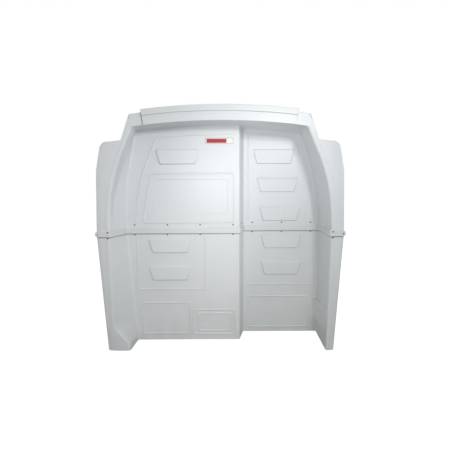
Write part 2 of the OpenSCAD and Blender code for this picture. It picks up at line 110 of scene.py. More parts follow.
def fade(z, low, high):
    """1 below low, 0 above high, and even between them, all in millimetres."""
    return min(max((high - z) / (high - low), 0), 1)


def bead(z, left):
    """Height of the bead around the mouth, which dies out at the roof and at the left toe."""
    return 5 * mm * fade(z, 1225, 1350) * (1 - fade(z, 135, 185) if left else 1)


def wall(z, depth, left):
    """Distance of a side wall from the middle at a depth behind the flange."""
    front = lookup(toe_edge if left else mouth_edge, z)
    back = lookup(left_back_edge if left else right_back_edge, z)
    knee = lookup(left_knee, z) if left else 0
    reach = left_recess if left else right_recess
    return between(front, back, max(depth - knee, 0) / (reach - knee))


def place(x, y, z):
    return Vector((x, flange_y + y, z))


def patch(rows):
    """Grid primitive laid over rows of points."""
    bpy.ops.mesh.primitive_grid_add(x_subdivisions=len(rows[0]) - 1, y_subdivisions=len(rows) - 1, size=1)
    grid = bpy.context.object
    for vertex, point in zip(grid.data.vertices, [point for row in rows for point in row]):
        vertex.co = point
    return grid


def spread(a, b, count):
    return [between(a, b, i / count) for i in range(count + 1)]


def knee_depth(z):
    return max(lookup(left_knee, z), 45 * mm)


def pocket_row(z):
    """Row of points around both recesses at one height, or under the ceiling where z is wall_top."""
    mid = knee_depth(z)
    left = [(-wall(z, 0, True), -bead(z, True)), (-wall(z, mid, True), mid)]
    shallow = [(x, left_recess) for x in spread(-wall(z, left_recess, True), step_front_x, left_columns)]
    deep = [(x, right_recess) for x in spread(step_back_x, wall(z, right_recess, False), right_columns)]
    right = [(wall(z, left_recess, False), left_recess), (wall(z, mid, False), mid),
             (wall(z, 0, False), -bead(z, False))]
    row = left + shallow + deep + right
    under_ceiling = z * mm >= wall_top
    return [place(x, y, arch(x) if under_ceiling else z * mm) for x, y in row]


def ceiling_row(depth, left_side=True):
    top = wall_top / mm
    share = max(depth - left_recess, 0) / (right_recess - left_recess)
    middle = between(step_front_x, step_back_x, share)
    left = spread(-wall(top, depth, True), middle, left_columns)[:-1] if left_side else []
    return [place(x, depth, arch(x)) for x in left + spread(middle, wall(top, depth, False), right_columns)]


def fascia_row(r):
    return [place(point.x, 0, arch(point.x, r)) for point in ceiling_row(0)]


def rounded(before, at, after, r, count):
    """Points along the arc of radius r that eases the corner `at`."""
    before, at, after = Vector(before), Vector(at), Vector(after)
    u, v = (before - at).normalized(), (after - at).normalized()
    half = math.acos(u.dot(v)) / 2
    middle = at + (u + v).normalized() * r / math.sin(half)
    first, last = at + u * r / math.tan(half) - middle, at + v * r / math.tan(half) - middle
    return [middle + first.lerp(last, i / count).normalized() * r for i in range(count + 1)]


corner_levels = [z for z in levels if 1225 < z <= wing_top]
corner_arc = [p * mm for p in rounded(*wing_corner, wing_corner_r, len(corner_levels) - 1)]


def wing_outer(z):
    """Outer edge of a wing for the row that starts from the mouth at the height z."""
    if z in corner_levels:
        return corner_arc[corner_levels.index(z)]
    if z <= joint_z / mm:
        return Vector((between(700, 746, z / 728), z)) * mm
    edge = [(728, 746), (1105, 735), (1271, 704)]
    return Vector((lookup(edge, z), z * mm))


# Bead around the mouth: distance from the mouth and share of its full height, then the width that
# the bead and the flat beside it take up
bead_columns = [(0, 1), (18 * mm, 0.9), (27 * mm, 0.3), (36 * mm, 0)]
bead_run = 39 * mm
crown = 14 * mm                         # how far the wings curve back at their outer edges


def wing_row(z, left):
    """Row from the mouth to the outer edge: a bead, then a face that curves back to its edge."""
    start = Vector((wall(z, 0, left), z * mm))
    outer = wing_outer(z)
    along = (outer - start).normalized()
    start_of_face = Vector(wing_corner[2]) * mm if z == wing_top else start + along * bead_run
    row = [(start.lerp(start_of_face, d / bead_run), -bead(z, left) * h) for d, h in bead_columns]
    for t in (0, 0.15, 0.3, 0.45, 0.58, 0.7, 0.8, 0.88, 0.94, 0.98, 1):
        row.append((start_of_face.lerp(outer, t), crown * (1 - math.sqrt(1 - t ** 2.2))))
    return [place(-p.x if left else p.x, y, p.y) for p, y in row]


fascia_radii = [arch_r, arch_r + 26 * mm, arch_r + 52 * mm, roof_r]
block_levels = [1285, 1308, 1330, 1360]


def block_rows(left):
    """Rows of the corner block between the fascia and the wing."""
    x = wall(1360, 0, left)
    inner = [(Vector((wall(z, 0, left), z * mm)), z) for z in block_levels[:-1]]
    inner += [(Vector((x, arch(x, r))), 1360) for r in fascia_radii]
    corner = Vector(wing_corner[2]) * mm
    rows = []
    for i, (start, z) in enumerate(inner):
        outer = corner.lerp(Vector(roof_corner), i / (len(inner) - 1))
        row = [(start.lerp(outer, d / bead_run), -bead(z, left) * h) for d, h in bead_columns]
        row.append((outer, 0))
        rows.append([place(-p.x if left else p.x, y, p.y) for p, y in row])
    return rows


pocket = [pocket_row(z) for z in levels + [wall_top / mm]]
ceiling_front = [ceiling_row(d) for d in (0, knee_depth(wall_top / mm), left_recess)]
ceiling_back = [ceiling_row(d, left_side=False) for d in (left_recess, right_recess)]
fascia = [fascia_row(r) for r in fascia_radii]
wings = {left: [wing_row(z, left) for z in levels if z <= wing_top] for left in (True, False)}
blocks = {left: block_rows(left) for left in (True, False)}
areas = [pocket, ceiling_front, ceiling_back, fascia, *wings.values(), *blocks.values()]
patches = [patch(rows) for rows in areas]


def join(pieces, name):
    """Joins pieces into one object of that name."""
    bpy.ops.object.select_all(action="DESELECT")
    for piece in pieces:
        piece.select_set(True)
    bpy.context.view_layer.objects.active = pieces[0]
    if len(pieces) > 1:
        bpy.ops.object.join()
    pieces[0].name = pieces[0].data.name = name
    return pieces[0]


def edit(piece, mode="VERT"):
    """Opens a piece in edit mode with nothing selected."""
    bpy.ops.object.select_all(action="DESELECT")
    piece.select_set(True)
    bpy.context.view_layer.objects.active = piece
    bpy.ops.object.mode_set(mode="EDIT")
    bpy.ops.mesh.select_mode(type=mode)
    bpy.ops.mesh.select_all(action="DESELECT")


def pick(piece, mode, wanted):
    """Opens a piece with only the vertices, edges or faces selected that `wanted` accepts."""
    edit(piece, mode)
    bpy.ops.object.mode_set(mode="OBJECT")
    parts = {"VERT": piece.data.vertices, "EDGE": piece.data.edges, "FACE": piece.data.polygons}[mode]
    for part in parts:
        part.select = wanted(part)
    bpy.ops.object.mode_set(mode="EDIT")


def done():
    bpy.ops.object.mode_set(mode="OBJECT")


def turn_faces(piece, inside_out):
    """Makes the faces of a piece agree, then flips them all if `inside_out` says so."""
    edit(piece)
    bpy.ops.mesh.select_all(action="SELECT")
    bpy.ops.mesh.normals_make_consistent(inside=False)
    done()
    if inside_out(piece.data.polygons):
        edit(piece)
        bpy.ops.mesh.select_all(action="SELECT")
        bpy.ops.mesh.flip_normals()
        done()


def faces_back(faces):
    return max(faces, key=lambda face: face.area).normal.y > 0


def encloses_nothing(faces):
    return sum(face.center.dot(face.normal) * face.area for face in faces) < 0


sheet = join(patches, "sheet")
edit(sheet)
bpy.ops.mesh.select_all(action="SELECT")
bpy.ops.mesh.remove_doubles(threshold=0.0002)
done()
turn_faces(sheet, faces_back)

# The lip is turned back along the wings and the corner blocks, but not along the roof or the floor
uses = {}
for face in sheet.data.polygons:
    for edge_key in face.edge_keys:
        uses[edge_key] = uses.get(edge_key, 0) + 1


def on_lip(edge):
    a, b = (sheet.data.vertices[i].co for i in edge.vertices)
    at_roof = all(math.hypot(p.x, p.z - arch_z) > roof_r - mm for p in (a, b))
    return uses[edge.key] == 1 and max(a.z, b.z) > mm and not at_roof


pick(sheet, "EDGE", on_lip)
bpy.ops.mesh.extrude_region_move()
bpy.ops.transform.resize(value=(1, 0, 1), center_override=(0, lip_y, 0))
done()

# Every bend of the mould is rounded: wide inside the recesses, soft round the mouth, crisp at the
# corner blocks. A line is a row of points and the radius of its bend.
widest = 14 * mm
sides = [row[0] for row in pocket], [row[-1] for row in pocket]
column = {name: 2 + i for name, i in (("left", 0), ("step", left_columns), ("back", left_columns + 1),
                                     ("right", left_columns + 1 + right_columns))}
bends = [([row[i] for row in pocket], 8 * mm if name == "step" else 12 * mm) for name, i in column.items()]
bends += [(pocket[-1], widest), (ceiling_front[0], 9 * mm)]
bends += [(side, 14 * mm) for side in sides]
bends.append(([row[1] for row in pocket if row[1].z > 850 * mm], 14 * mm))
bends += [(wing[-1][5:], 8 * mm) for wing in wings.values()]
bends += [([row[-1] for row in block], 2.5 * mm) for block in blocks.values()]

tree = KDTree(len(sheet.data.vertices))
for vertex in sheet.data.vertices:
    tree.insert(vertex.co, vertex.index)
tree.balance()
edge_index = {edge.key: edge.index for edge in sheet.data.edges}
weights = sheet.data.attributes.new("bevel_weight_edge", "FLOAT", "EDGE")
for line, radius in bends:
    marks = [tree.find(point)[1] for point in line]
    for a, b in zip(marks, marks[1:]):
        index = edge_index.get((min(a, b), max(a, b)))
        if index is not None:
            weights.data[index].value = radius / widest


def finish_with(piece, kind, **settings):
    """Adds one modifier to a piece and applies it."""
    bpy.ops.object.select_all(action="DESELECT")
    piece.select_set(True)
    bpy.context.view_layer.objects.active = piece
    modifier = piece.modifiers.new(kind.title(), kind)
    for name, value in settings.items():
        setattr(modifier, name, value)
    bpy.ops.object.modifier_apply(modifier=modifier.name)


finish_with(sheet, "BEVEL", limit_method="WEIGHT", width=widest, segments=5, use_clamp_overlap=False)


def sawn(name, height, keep_upper):
    """Copy of the sheet on one side of the joint, given its thickness behind the front face."""
    part = sheet.copy()
    part.data = sheet.data.copy()
    bpy.context.collection.objects.link(part)
    part.name = part.data.name = name
    edit(part)
    bpy.ops.mesh.select_all(action="SELECT")
    bpy.ops.mesh.bisect(plane_co=(0, 0, height), plane_no=(0, 0, 1), clear_inner=keep_upper,
                        clear_outer=not keep_upper)
    done()
    finish_with(part, "SOLIDIFY", thickness=sheet_t, offset=-1, use_even_offset=False)
    for vertex in part.data.vertices:
        vertex.co.z = max(vertex.co.z, 0)
    return part


upper = sawn("moulded_upper_shell", joint_z + 0.5 * mm, True)
lower = sawn("moulded_lower_shell", joint_z - 0.5 * mm, False)
bpy.data.objects.remove(sheet)

# ---- Floor flanges and wheel bulge ----
# Flanges turned back along the floor take two bolts each into the van's floor, and the right wall
# bulges inwards low down to clear the wheel arch behind it. Both are part of the lower moulding.
def combine(piece, others, operation):
    """Adds solids to a piece, or cuts them out of it, and removes them."""
    tool = join(others, "tool")
    finish_with(piece, "BOOLEAN", object=tool, operation=operation, solver="EXACT")
    bpy.data.objects.remove(tool)


def block(x1, x2, y1, y2, z1, z2):
    """Box from its limits in millimetres, its depths counted from the flanges' front face."""
    bpy.ops.mesh.primitive_cube_add(size=1)
    box = bpy.context.object
    for vertex in box.data.vertices:
        x, y, z = (low if c < 0 else high for c, low, high in zip(vertex.co, (x1, y1, z1), (x2, y2, z2)))
        vertex.co = place(x * mm, y * mm, z * mm)
    return box


# The flanges lie 0.3 mm above the floor, so that no face of theirs falls on the shell's lower edge
flange_low, flange_high = 0.3, 5.3
flanges = [block(-540, 100, 167, 205, flange_low, flange_high),
           block(160, 640, 302, 340, flange_low, flange_high)]
for flange in flanges:
    corners = flange.data.vertices
    rear = max(corner.co.y for corner in corners) - mm
    pick(flange, "EDGE", lambda e: all(corners[i].co.y > rear for i in e.vertices)
         and abs(corners[e.vertices[0]].co.z - corners[e.vertices[1]].co.z) > mm)
    bpy.ops.mesh.bevel(offset=12 * mm, segments=5, affect="EDGES")
    done()

# The bulge is a wedge. Its outer face is buried in the wall's thickness; its inner face is almost
# flush with the wall in front and stands out further towards the back.
bulge = block(638, 668, 45, 302, 104, 236)
for vertex in bulge.data.vertices:
    front, inner = vertex.co.y < flange_y + 46 * mm, vertex.co.x < 639 * mm
    if front:
        vertex.co.x = (651.5 if inner else 657.5) * mm
bulge_corners = bulge.data.vertices
pick(bulge, "EDGE", lambda e: all(bulge_corners[i].co.x < 652 * mm for i in e.vertices))
bpy.ops.mesh.bevel(offset=4 * mm, segments=4, affect="EDGES")
done()
turn_faces(bulge, encloses_nothing)
combine(lower, flanges + [bulge], "UNION")

# ---- Holes ----
# Drilled after moulding: a clearance hole at each door pillar, shared by both shells, and two bolt
# holes in each floor flange.
pillar_x = 738 * mm
pillar_hole_r, clearance_r, floor_hole_r = 5.25 * mm, 6 * mm, 4.5 * mm


def cylinder(x, y, z, r, length, turned):
    """Plain cylinder, upright or turned along Y."""
    rotation = (math.radians(90), 0, 0) if turned else (0, 0, 0)
    bpy.ops.mesh.primitive_cylinder_add(vertices=32, radius=r, depth=length, location=(x, y, z),
                                        rotation=rotation)
    bpy.ops.object.transform_apply(location=True, rotation=True, scale=True)
    return bpy.context.object


def pillar_cutters():
    return [cylinder(side * pillar_x, flange_y + 10 * mm, joint_z, clearance_r, 60 * mm, True)
            for side in (-1, 1)]


floor_cutters = [cylinder(x * mm, flange_y + y * mm, 0, floor_hole_r, 30 * mm, False)
                 for x, y in ((-430, 187.5), (0, 187.5), (260, 322.5), (560, 322.5))]
combine(upper, pillar_cutters(), "DIFFERENCE")
combine(lower, pillar_cutters() + floor_cutters, "DIFFERENCE")

# ---- Pads, beads and pressed fields ----
# Stiffening shapes that the mould presses into the two panels: eight raised pads with slanted ends,
# fine beads that outline the fields, and a sunk window field. The pads are hollow from behind.
pad_w, pad_foot_w, pad_h, pad_out = 282 * mm, 230 * mm, 98 * mm, 11 * mm
bead_w, bead_out, bead_lift = 10.5 * mm, 4.2 * mm, 0.8 * mm


def eased(points, r, closed=True, count=5):
    """Outline with its corners rounded; points and radius in millimetres, the result in metres."""
    shape = []
    for i, here in enumerate(points):
        if closed or 0 < i < len(points) - 1:
            before, after = points[i - 1], points[(i + 1) % len(points)]
            shape += [p * mm for p in rounded(before, here, after, r, count)]
        else:
            shape.append(Vector(here) * mm)
    return shape


def slab(outline, back, front, across=1.0, soft=0, upright=1.0):
    """Solid on an outline in X and Z, from a back depth to a front one; its front is scaled by
    `across` and `upright` and eased by `soft`."""
    bpy.ops.mesh.primitive_circle_add(vertices=len(outline), fill_type="NGON")
    solid = bpy.context.object
    for vertex, p in zip(solid.data.vertices, outline):
        vertex.co = place(p.x, back, p.y)
    middle = sum((v.co for v in solid.data.vertices), Vector()) / len(outline)
    edit(solid, "FACE")
    bpy.ops.mesh.select_all(action="SELECT")
    bpy.ops.mesh.extrude_region_move(TRANSFORM_OT_translate={"value": (0, front - back, 0)})
    bpy.ops.transform.resize(value=(across, 1, upright), center_override=middle)
    if soft:
        bpy.ops.mesh.bevel(offset=soft, segments=3, affect="EDGES")
    done()
    turn_faces(solid, encloses_nothing)
    return solid


def pad_outline(x, z, grow=0.0):
    half_foot, half_top, half_h = pad_foot_w / mm / 2 + grow, pad_w / mm / 2 + grow, pad_h / mm / 2 + grow
    return eased([(x - half_foot, z - half_h), (x + half_foot, z - half_h),
                  (x + half_top, z + half_h), (x - half_top, z + half_h)], 10 + grow)


def pad(x, z, depth):
    return slab(pad_outline(x, z), depth + 2 * mm, depth - pad_out, 0.955, 3 * mm, 0.88)


def pad_hollow(x, z, depth):
    return slab(pad_outline(x, z, -5), depth + sheet_t + mm, depth - pad_out + sheet_t, 0.96, 0, 0.9)


def raised_line(points, depth, closed, width=bead_w, out=bead_out):
    """Half-round bead along a path of points in metres, sunk half its height in the panel."""
    curve = bpy.data.curves.new("bead", "CURVE")
    curve.dimensions = "3D"
    spline = curve.splines.new("POLY")
    spline.points.add(len(points) - 1)
    for spot, p in zip(spline.points, points):
        spot.co = (*place(p.x, depth - bead_lift, p.y), 1)
    spline.use_cyclic_u = closed
    curve.bevel_depth, curve.bevel_resolution, curve.use_fill_caps = width / 2, 3, not closed
    tube = bpy.data.objects.new("bead", curve)
    bpy.context.collection.objects.link(tube)
    bpy.ops.object.select_all(action="DESELECT")
    tube.select_set(True)
    bpy.context.view_layer.objects.active = tube
    bpy.ops.object.convert(target="MESH")
    edit(tube)
    bpy.ops.mesh.select_all(action="SELECT")
    bpy.ops.mesh.remove_doubles(threshold=0.00001)
    bpy.ops.transform.resize(value=(1, 2 * out / width, 1), center_override=place(0, depth - bead_lift, 0))
    done()
    turn_faces(tube, encloses_nothing)
    return tube


def frame_line(points, depth, r=16):
    """Closed bead around a field; the points are the outer corners of its middle line."""
    return raised_line(eased(points, r), depth, True)


def arc_points(r, x1, x2, count=14):
    return [(x / mm, arch(x, r) / mm) for x in spread(x1 * mm, x2 * mm, count)]


def rectangle(x1, z1, x2, z2):
    return [(x1, z1), (x2, z1), (x2, z2), (x1, z2)]


def metres(points):
    return [Vector(p) * mm for p in points]


left_field = ([(-542, 780), (-530, 920), (-493, 1095), (-412, 1288), (-405, 1302)]
              + arc_points(arch_r - 57 * mm, -388, 90))
right_field = ([(182, 780), (182, 1326), (190, 1336)] + arc_points(arch_r - 34 * mm, 202, 440, 8)
               + [(466, 1328), (489, 1307), (547, 1165), (613, 905), (632, 782)])
upper_pads = [(-270, 1199, left_recess), (354, 1207, right_recess), (380, 1019, right_recess),
              (398, 826, right_recess)]
lower_pads = [(-328, 632, left_recess), (-330, 451, left_recess),
              (408, 638, right_recess), (410, 454, right_recess)]
for shell, places in ((upper, upper_pads), (lower, lower_pads)):
    combine(shell, [pad(*spot) for spot in places], "UNION")
    combine(shell, [pad_hollow(*spot) for spot in places], "DIFFERENCE")
# The window field is sunk 3 mm and its sides slope, so its cutter is larger in front
window = eased([(-451, 839), (45, 839), (45, 1056), (-409, 1056)], 10)
window_back, window_front = left_recess + 3 * mm, left_recess - mm
combine(upper, [slab(window, window_back, window_front, 1.014, 0, 1.032)], "DIFFERENCE")
# The beads come last, because a cut made after them leaves open edges in the lower shell
u_bead = eased([(-538, 696), (-538, 345), (-102, 345), (-102, 696)], 14, closed=False)
combine(upper, [
    raised_line(metres(left_field), left_recess, False),
    raised_line(metres(right_field), right_recess, False),
    frame_line([(-499, 783), (85, 783), (85, 1095), (-440, 1095)], left_recess, 22),
], "UNION")
combine(lower, [
    raised_line(u_bead, left_recess, False),
    frame_line(rectangle(-518, 44, -204, 253), left_recess),
    frame_line(rectangle(-182, 40, 90, 205), left_recess),
    frame_line(rectangle(-149, 63, 67, 179), left_recess, 8),
    raised_line(metres([(183, 339), (628, 339)]), right_recess, False),
    frame_line(rectangle(184, 35, 599, 253), right_recess),
], "UNION")


def smooth(piece, angle=35):
    """Smooth shading that leaves bends over the angle crisp, with flat faces kept flat."""
    bpy.ops.object.select_all(action="DESELECT")
    piece.select_set(True)
    bpy.context.view_layer.objects.active = piece
    bpy.ops.object.shade_smooth_by_angle(angle=math.radians(angle))
    finish_with(piece, "WEIGHTED_NORMAL", keep_sharp=True, weight=60)


# The cab side is marked on the faces, because the painted shadow lines go only there
for shell in (upper, lower):
    smooth(shell)
    cab_side = shell.data.attributes.new("cab_side", "FLOAT", "FACE")
    for face, mark in zip(shell.data.polygons, cab_side.data):
        into_recess = face.normal.x * (1 if face.center.x < 300 * mm else -1)
        mark.value = float(face.normal.y < -0.3 or into_recess > 0.5)


# ---- White plastic ----
# Bluish-white semi-gloss sheet: faint orange peel from the mould, slow changes of tone, fine rubbed
# marks, a little grey dirt low down, and painted shadow as dark lines under the bands and beside the header
# trim.
# The second and third colours are painted shadow: near black for the gap under the joint bands, warm brown
# beside the left end of the header trim
dirt_grey, band_painted_shadow, trim_painted_shadow = (0.47, 0.46, 0.43, 1), (0.10, 0.10, 0.10, 1), (0.13, 0.09, 0.05, 1)
warm_tint = (1.005, 0.99, 0.965)        # towards the floor
band_low = 712 * mm                     # lower edge of the joint bands
trim_angle = math.radians(6.77)         # from the middle of the header trim to each end
# The painted shadow beside the left end of the header trim: its width and the height above which it shows
trim_shadow_w = 5 * mm
trim_shadow_low = 1370 * mm


class Number:
    """Number that varies over a surface; arithmetic on it adds Math nodes."""

    def __init__(self, look, socket):
        self.look, self.socket = look, socket

    def maths(self, operation, a, b):
        return self.look.node("ShaderNodeMath", {"operation": operation}, {0: a, 1: b})

    def __add__(self, other):
        return self.maths("ADD", self, other)

    def __sub__(self, other):
        return self.maths("SUBTRACT", self, other)

    def __rsub__(self, other):
        return self.maths("SUBTRACT", other, self)

    def __mul__(self, other):
        return self.maths("MULTIPLY", self, other)

    def __gt__(self, other):
        return self.maths("GREATER_THAN", self, other)

    def __lt__(self, other):
        return self.maths("LESS_THAN", self, other)

    __radd__, __rmul__ = __add__, __mul__

    def ramp(self, low, high):
        """0 below low, 1 above high and straight between them."""
        return self.look.node("ShaderNodeMapRange", {"clamp": True},
                              {"Value": self, "From Min": low, "From Max": high, "To Min": 0.0, "To Max": 1.0})


class Look:
    """One procedural material on the piece's own coordinates."""

    def __init__(self, name, **constants):
        self.material = bpy.data.materials.new(name)
        self.material.use_nodes = True
        self.shader = self.material.node_tree.nodes["Principled BSDF"]
        for socket, value in constants.items():
            self.shader.inputs[socket.replace("_", " ")].default_value = value
        self.place = self.node("ShaderNodeTexCoord", output="Object")

    def node(self, kind, settings=None, inputs=None, output=0):
        """Adds a node with its settings, then its inputs, and gives one of its outputs."""
        made = self.material.node_tree.nodes.new(kind)
        for name, value in (settings or {}).items():
            setattr(made, name, value)
        for socket, value in (inputs or {}).items():
            self.feed(made.inputs[socket], value)
        return Number(self, made.outputs[output])

    def feed(self, socket, value):
        if isinstance(value, Number):
            self.material.node_tree.links.new(value.socket, socket)
        else:
            socket.default_value = value

    def noise(self, scale, detail=2.0, stretch=None, rough=0.5):
        at = self.place
        if stretch:
            at = self.node("ShaderNodeMapping", {}, {"Vector": at, "Scale": stretch})
        return self.node("ShaderNodeTexNoise", {},
                         {"Vector": at, "Scale": scale, "Detail": detail, "Roughness": rough})

    def blend(self, factor, a, b):
        """Colour a where the factor is 0, colour b where it is 1."""
        return self.node("ShaderNodeMix", {"data_type": "RGBA"}, {0: factor, 6: a, 7: b}, 2)

    def bump(self, height, distance, strength=1.0):
        return self.node("ShaderNodeBump", {}, {"Height": height, "Distance": distance, "Strength": strength})

    def set(self, **links):
        for socket, value in links.items():
            self.feed(self.shader.inputs[socket.replace("_", " ")], value)
        return self.material

    def across(self):
        return self.node("ShaderNodeSeparateXYZ", {}, {"Vector": self.place}, "X")

    def height(self):
        return self.node("ShaderNodeSeparateXYZ", {}, {"Vector": self.place}, "Z")


def white_plastic(name, clean, dirt_amount, painted_shadow_amount=0.0):
    """Plastic of one clean colour; the amounts say how strongly dirt and the painted shadow lines show."""
    look = Look(name, IOR=1.46)
    cloud = look.noise(1.7, 3.0)
    blotch = look.noise(9.0, 4.0, rough=0.6)
    scuff = look.noise(34.0, 3.0, (1.0, 1.0, 0.07)).ramp(0.63, 0.72) * look.noise(3.0, 2.0).ramp(0.5, 0.62)
    low = 1 - look.height().ramp(0.0, 0.55)
    dirt = (blotch.ramp(0.42, 0.75) * low + scuff * 0.35) * dirt_amount
    tone = look.blend(cloud.ramp(0.3, 0.7), clean, [c * 0.975 for c in clean[:3]] + [1])
    warm = [c * tint for c, tint in zip(clean, warm_tint)] + [1]
    tone = look.blend(look.height().ramp(0.2, 1.0), warm, tone)
    if painted_shadow_amount:
        # Painted shadow: dark lines under the joint bands and beside the left end of the header trim, on
        # cab-side faces
        across, rise = look.across(), look.height()
        cab_side = look.node("ShaderNodeAttribute", {"attribute_name": "cab_side"}, output="Fac")
        under_band = (rise > band_low - 5.5 * mm) * (rise < band_low + 0.5 * mm) * cab_side * painted_shadow_amount
        beyond_trim = across * -1 - (rise - arch_z) * math.tan(trim_angle)
        beside_trim = (beyond_trim > 0.0) * (beyond_trim < trim_shadow_w) * (rise > trim_shadow_low)
        tone = look.blend(under_band, tone, band_painted_shadow)
        tone = look.blend(beside_trim * cab_side * painted_shadow_amount, tone, trim_painted_shadow)
    peel = look.noise(230.0, 2.0) + look.noise(38.0, 1.0) * 1.6
    return look.set(
        Base_Color=look.blend(dirt, tone, dirt_grey),
        Roughness=0.3 + cloud * 0.06 + blotch * 0.07 + scuff * 0.18 + dirt * 0.25,
        Normal=look.bump(peel, 0.00012, 0.5),
    )


# The last amount sets how strongly the painted shadow lines show
shell_white = white_plastic("shell plastic", (0.735, 0.76, 0.775, 1), 0.22, 0.7)
trim_white = white_plastic("trim plastic", (0.71, 0.73, 0.74, 1), 0.10)


def finished(piece, material, slot, *nodes):
    """Gives a piece its material and its body, and hides the CAD nodes that it stands for; the slot is not
    used.
    """
    piece.data.materials.clear()
    piece.data.materials.append(material)
    if nodes:
        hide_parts(*nodes)
    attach(piece, "root")


finished(upper, shell_white, "shell_plastic", "upper_shell")
finished(lower, shell_white, "shell_plastic", "lower_shell")

# ---- Header trim ----
# Separate moulding screwed over the fascia from behind: a plain lower band and a deeper ledge above
# it that laps over the roof edge of the upper shell. It follows the arch of the roof.
face_h, ledge_h = 53 * mm, 37 * mm
face_out, ledge_out = 8 * mm, 16 * mm
trim_t = 4 * mm
trim_back = 24 * mm


def arch_solid(r1, r2, y1, y2, angle, count=28):
    """Bent bar between two radii of the roof arch, from one depth to another."""
    turns = spread(-angle, angle, count)
    outline = [Vector((r2 * math.sin(a), arch_z + r2 * math.cos(a))) for a in turns]
    outline += [Vector((r1 * math.sin(a), arch_z + r1 * math.cos(a))) for a in reversed(turns)]
    return slab(outline, y2, y1)


def soften(piece, width, segments=3, angle=40):
    finish_with(piece, "BEVEL", limit_method="ANGLE", angle_limit=math.radians(angle), width=width,
                segments=segments, use_clamp_overlap=True)


trim = arch_solid(arch_r, arch_r + face_h + 3 * mm, -face_out, 0, trim_angle - math.radians(0.02))
soften(trim, 2.5 * mm)
ledge = arch_solid(arch_r + face_h, arch_r + face_h + ledge_h, -ledge_out, 0, trim_angle)
soften(ledge, 4 * mm)
lap = arch_solid(arch_r + face_h + ledge_h - trim_t, arch_r + face_h + ledge_h - 0.05 * mm,
                 -ledge_out / 2, trim_back, trim_angle - math.radians(0.03))
combine(trim, [ledge], "UNION")
combine(trim, [lap], "UNION")
hollow_angle = trim_angle - math.radians(0.07)
ledge_inside = arch_r + face_h + ledge_h - trim_t
combine(trim, [arch_solid(arch_r + trim_t, arch_r + face_h + 2 * mm, trim_t - face_out, 2 * mm,
                          hollow_angle)], "DIFFERENCE")
combine(trim, [arch_solid(arch_r + face_h + trim_t, ledge_inside, trim_t - ledge_out, 2 * mm,
                          hollow_angle)], "DIFFERENCE")
smooth(trim, 30)
trim.name = trim.data.name = "arched_header_trim"
finished(trim, trim_white, "trim_plastic", "header_trim")

# ---- Joint bands ----
# Two lengths of moulded band cover the gap between the shells. They follow the panels, the walls
# and the wings, end in round ears at the door pillars, and meet at the step.
band_h, band_t = 36 * mm, 7 * mm
wing_tip = 750 * mm
joint_level = joint_z / mm
mouth_x = lookup(mouth_edge, joint_level)
band_path = [Vector(p) for p in (
    (-wing_tip, 0), (-mouth_x, 0), (-lookup(left_back_edge, joint_level), left_recess),
    (step_front_x, left_recess), (step_back_x, right_recess),
    (lookup(right_back_edge, joint_level), right_recess), (mouth_x, 0), (wing_tip, 0),
)]


def beside(path, distance):
    """Path moved sideways to the front, with mitred corners."""
    result = []
    for i, here in enumerate(path):
        runs = [path[j + 1] - path[j] for j in (i - 1, i) if 0 <= j < len(path) - 1]
        sides_of = [Vector((run.y, -run.x)).normalized() for run in runs]
        total = sides_of[0] + sides_of[-1]
        result.append(here + total * distance / (1 + sides_of[0].dot(sides_of[-1])))
    return result


def band(name, first, last, node):
    """Band along the points of the path from first to last, with its bends and its ear rounded."""
    front = beside(band_path, band_t)
    outline = band_path[first:last + 1] + front[first:last + 1][::-1]
    bpy.ops.mesh.primitive_circle_add(vertices=len(outline), fill_type="NGON")
    piece = bpy.context.object
    for vertex, p in zip(piece.data.vertices, outline):
        vertex.co = place(p.x, p.y, band_low)
    edit(piece, "FACE")
    bpy.ops.mesh.select_all(action="SELECT")
    bpy.ops.mesh.extrude_region_move(TRANSFORM_OT_translate={"value": (0, 0, band_h)})
    done()
    turn_faces(piece, encloses_nothing)
    points = piece.data.vertices

    def tip(edge):
        a, b = (points[i].co for i in edge.vertices)
        return min(abs(a.x), abs(b.x)) > wing_tip - mm and abs(a.z - b.z) < mm

    def bend(edge):
        a, b = (points[i].co for i in edge.vertices)
        return abs(a.z - b.z) > mm and abs(a.x) < wing_tip - mm and abs(a.x - step_front_x) > 12 * mm

    pick(piece, "EDGE", bend)
    bpy.ops.mesh.bevel(offset=9 * mm, segments=5, affect="EDGES")
    done()
    points = piece.data.vertices
    pick(piece, "EDGE", tip)
    bpy.ops.mesh.bevel(offset=15 * mm, segments=6, affect="EDGES")
    done()
    soften(piece, 1.6 * mm, 3, 50)
    turn_faces(piece, encloses_nothing)
    side = -1 if first == 0 else 1
    hole = cylinder(side * pillar_x, flange_y, joint_z, pillar_hole_r, 60 * mm, True)
    combine(piece, [hole], "DIFFERENCE")
    smooth(piece, 40)
    piece.name = piece.data.name = name
    finished(piece, trim_white, "trim_plastic", node)


band("left_joint_band", 0, 3, "joint_band_left")
band("right_joint_band", 3, 7, "joint_band_right")

# ---- Foam gaskets at the pillars ----
# Black closed-cell discs behind the wing plates; the pillar bolt is pushed through them, so they
# close the hole until it is fitted. They are cut from sheet.
foam = Look("closed-cell foam", Roughness=0.85)
cells = foam.noise(420.0, 2.0)
foam_tone = foam.blend(foam.noise(14.0, 3.0).ramp(0.35, 0.7), (0.016, 0.016, 0.017, 1), (0.032, 0.031, 0.03, 1))
foam_black = foam.set(Base_Color=foam_tone, Normal=foam.bump(cells, 0.0006, 0.8))

for name, side in (("left_pillar_gasket", -1), ("right_pillar_gasket", 1)):
    gasket = cylinder(side * (pillar_x - 4 * mm), flange_y + 15 * mm, joint_z, 11.5 * mm, 12 * mm, True)
    gasket.name = gasket.data.name = name
    soften(gasket, 1.5 * mm)
    smooth(gasket)
    finished(gasket, foam_black, "seal_foam")

# ---- Foam seals ----
# Strips of the same foam stuck to the back of the roof fascia, the wings and the feet, where the
# partition meets the van's body. Cut square with softened edges.
seal_t, seal_w = 10 * mm, 14 * mm


def strip(path, width):
    """Closed outline along a path of points in metres, to its right, with mitred corners."""
    return path + beside(path, width)[::-1]


